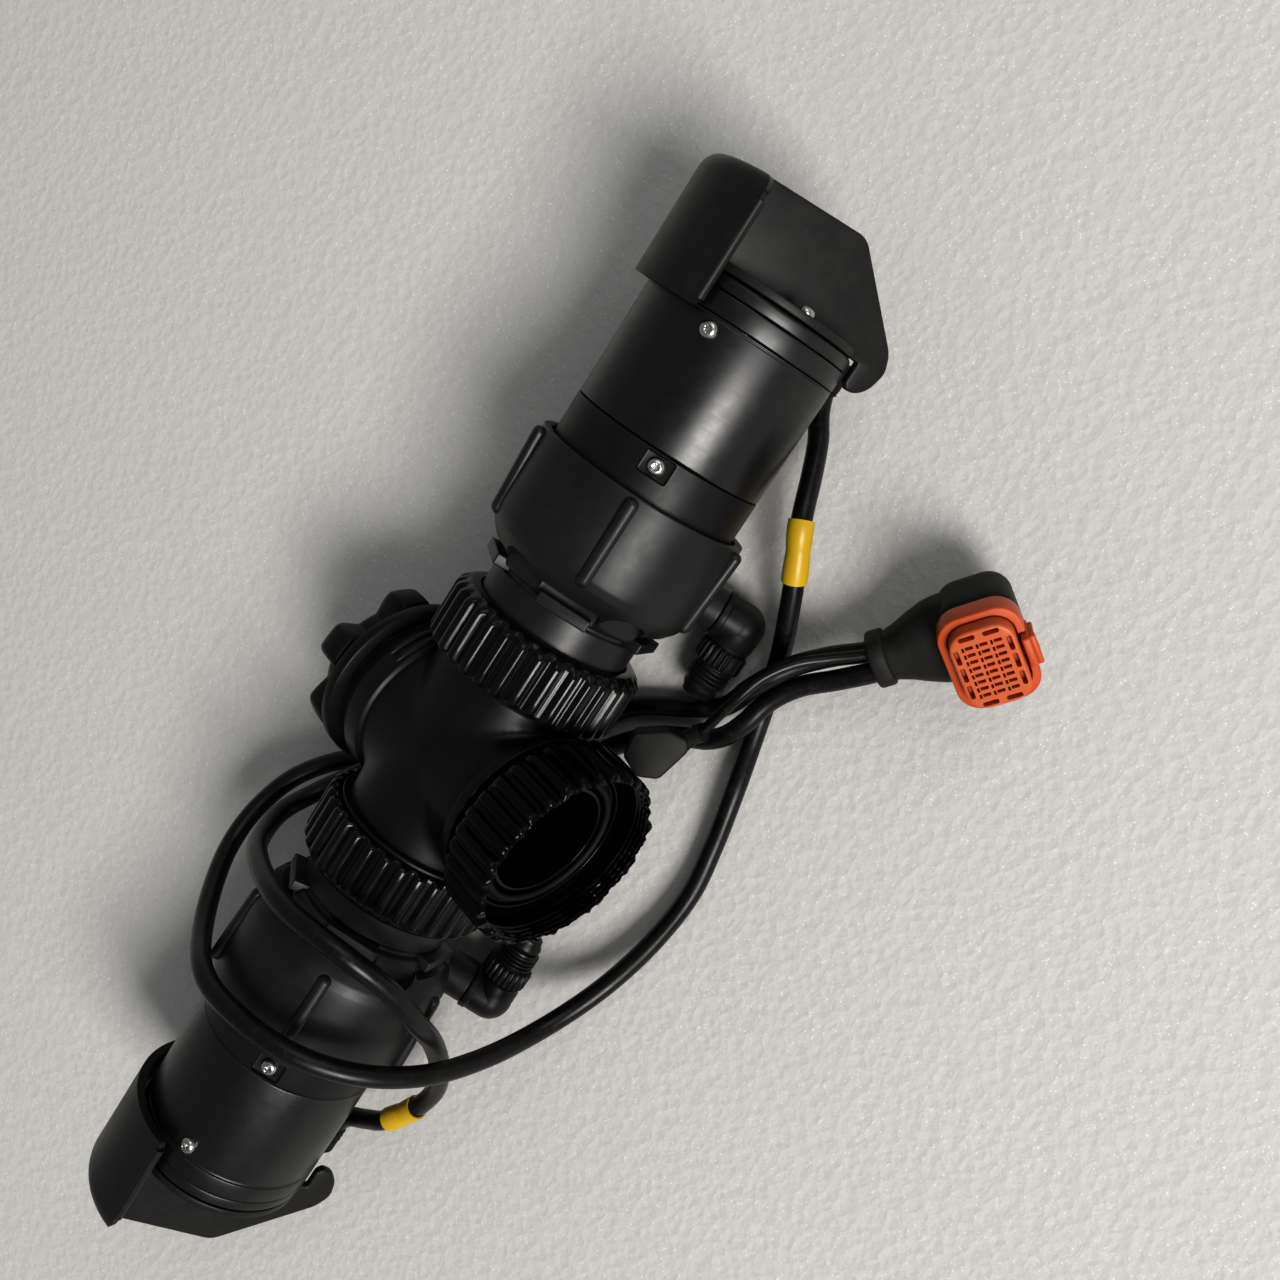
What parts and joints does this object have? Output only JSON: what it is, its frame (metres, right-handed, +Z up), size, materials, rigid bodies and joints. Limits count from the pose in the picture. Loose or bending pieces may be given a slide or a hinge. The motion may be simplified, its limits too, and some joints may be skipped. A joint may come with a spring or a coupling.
{
  "type": "twin impeller pump set",
  "caption": "Twin motor-driven impeller pumps on a cross manifold with union nuts, barbed outlet elbows, screw cap and a cable harness ending in a sealed connector.",
  "frame": {"origin": "centre of the bounding box at its bottom, where the set rests on a floor", "axes": "+X along the common pump axis towards unit A, +Z up in the resting position, +Y away from the outlet elbows"},
  "size_m": [0.404, 0.1998, 0.0984],
  "materials": {
    "housing_plastic": "fine-grained black moulded plastic",
    "collar_plastic": "satin black moulded plastic",
    "guard_plastic": "black moulded plastic with scuffs",
    "manifold_plastic": "satin black moulded plastic",
    "elbow_plastic": "black moulded plastic",
    "nut_gloss": "wet-looking glossy black ribbed plastic",
    "anodised_can": "satin black anodised aluminium",
    "screw_steel": "bright pan heads",
    "shaft_steel": "ground steel",
    "magnet": "plated magnet steel",
    "winding": "wound stator",
    "ceramic": "polished ceramic",
    "wet_plastic": "natural engineering plastic",
    "seal_rubber": "moulded rubber",
    "cable_jacket": "semi-gloss cable jacket",
    "sleeve_yellow": "blank yellow marking sleeve",
    "connector_black": "matte overmoulding",
    "lock_orange": "orange glass-filled plastic"
  },
  "bodies": {
    "root": {"pump_housing_a": "housing_plastic", "rear_guard_a": "guard_plastic", "spindle_a": "ceramic", "isolation_can_a": "wet_plastic", "motor_collar_a": "collar_plastic", "collar_screw_a": "screw_steel", "motor_can_a": "anodised_can", "end_screw_a": "screw_steel", "end_bracket_a": "anodised_can", "end_cover_a": "anodised_can", "guard_screw_a": "screw_steel", "stator_a": "winding", "front_bearing_a": "shaft_steel", "rear_bearing_a": "shaft_steel", "cable_gland_a": "seal_rubber", "union_seal_a": "seal_rubber", "pump_housing_b": "housing_plastic", "rear_guard_b": "guard_plastic", "spindle_b": "ceramic", "isolation_can_b": "wet_plastic", "motor_collar_b": "collar_plastic", "collar_screw_b": "screw_steel", "motor_can_b": "anodised_can", "end_screw_b": "screw_steel", "end_bracket_b": "anodised_can", "end_cover_b": "anodised_can", "guard_screw_b": "screw_steel", "stator_b": "winding", "front_bearing_b": "shaft_steel", "rear_bearing_b": "shaft_steel", "cable_gland_b": "seal_rubber", "union_seal_b": "seal_rubber", "manifold_body": "manifold_plastic", "port_spigot": "nut_gloss", "port_seal": "seal_rubber", "cap_gasket": "seal_rubber", "power_cable_a": "cable_jacket", "power_cable_b": "cable_jacket", "cable_sleeve_a": "sleeve_yellow", "cable_sleeve_b": "sleeve_yellow", "sensor_boot": "connector_black", "sensor_lead": "cable_jacket", "connector_overmould": "connector_black", "connector_face": "lock_orange"},
    "impeller_a_body": {"impeller_a": "wet_plastic"},
    "drive_a_body": {"motor_rotor_a": "magnet", "motor_shaft_a": "shaft_steel", "magnet_cup_a": "magnet"},
    "nut_a_body": {"union_nut_a": "nut_gloss"},
    "elbow_a_body": {"outlet_elbow_a": "elbow_plastic"},
    "impeller_b_body": {"impeller_b": "wet_plastic"},
    "drive_b_body": {"motor_rotor_b": "magnet", "motor_shaft_b": "shaft_steel", "magnet_cup_b": "magnet"},
    "nut_b_body": {"union_nut_b": "nut_gloss"},
    "elbow_b_body": {"outlet_elbow_b": "elbow_plastic"},
    "port_nut_body": {"port_nut": "nut_gloss"},
    "cap_body": {"screw_cap": "manifold_plastic"},
    "lock_body": {"connector_lock": "lock_orange"},
    "latch_body": {"connector_latch": "lock_orange"}
  },
  "joints": [
    {"name": "drive_spin_a", "type": "hinge", "parent": "root", "child": "drive_a_body", "pos_m": [0.138, 0.03148, 0.0474], "axis": [1, 0, 0], "continuous": true},
    {"name": "impeller_spin_a", "type": "hinge", "parent": "root", "child": "impeller_a_body", "pos_m": [0.085, 0.03148, 0.0474], "axis": [1, 0, 0], "continuous": true},
    {"name": "union_nut_turn_a", "type": "hinge", "parent": "root", "child": "nut_a_body", "pos_m": [0.0415, 0.03148, 0.0474], "axis": [1, 0, 0], "continuous": true},
    {"name": "elbow_swivel_a", "type": "hinge", "parent": "root", "child": "elbow_a_body", "pos_m": [0.081, -0.01113, 0.00966], "axis": [0, 0.9466, 0.3223], "range_deg": [0, 80]},
    {"name": "drive_spin_b", "type": "hinge", "parent": "root", "child": "drive_b_body", "pos_m": [-0.138, 0.03148, 0.0474], "axis": [1, 0, 0], "continuous": true},
    {"name": "impeller_spin_b", "type": "hinge", "parent": "root", "child": "impeller_b_body", "pos_m": [-0.085, 0.03148, 0.0474], "axis": [1, 0, 0], "continuous": true},
    {"name": "union_nut_turn_b", "type": "hinge", "parent": "root", "child": "nut_b_body", "pos_m": [-0.0415, 0.03148, 0.0474], "axis": [1, 0, 0], "continuous": true},
    {"name": "elbow_swivel_b", "type": "hinge", "parent": "root", "child": "elbow_b_body", "pos_m": [-0.081, -0.01113, 0.00966], "axis": [0, -0.9466, -0.3223], "range_deg": [0, 80]},
    {"name": "port_nut_turn", "type": "hinge", "parent": "root", "child": "port_nut_body", "pos_m": [0, -0.01086, 0.06265], "axis": [0, -0.9409, 0.3387], "continuous": true},
    {"name": "cap_turn", "type": "hinge", "parent": "root", "child": "cap_body", "pos_m": [0, 0.07382, 0.03216], "axis": [0, 0.9409, -0.3387], "continuous": true},
    {"name": "lock_slide", "type": "slide", "parent": "root", "child": "lock_body", "axis": [-0.3137, -0.4154, 0.8538], "range_m": [0, 0.003]},
    {"name": "latch_flex", "type": "hinge", "parent": "root", "child": "latch_body", "pos_m": [0.13292, -0.08836, 0.02716], "axis": [-0.5152, -0.6809, -0.5205], "range_deg": [0, 3], "stiffness_Nm_per_rad": 0.02}
  ],
  "couplings": [
    {"joint": "impeller_spin_a", "follows": "drive_spin_a", "ratio": 1},
    {"joint": "impeller_spin_b", "follows": "drive_spin_b", "ratio": 1}
  ]
}
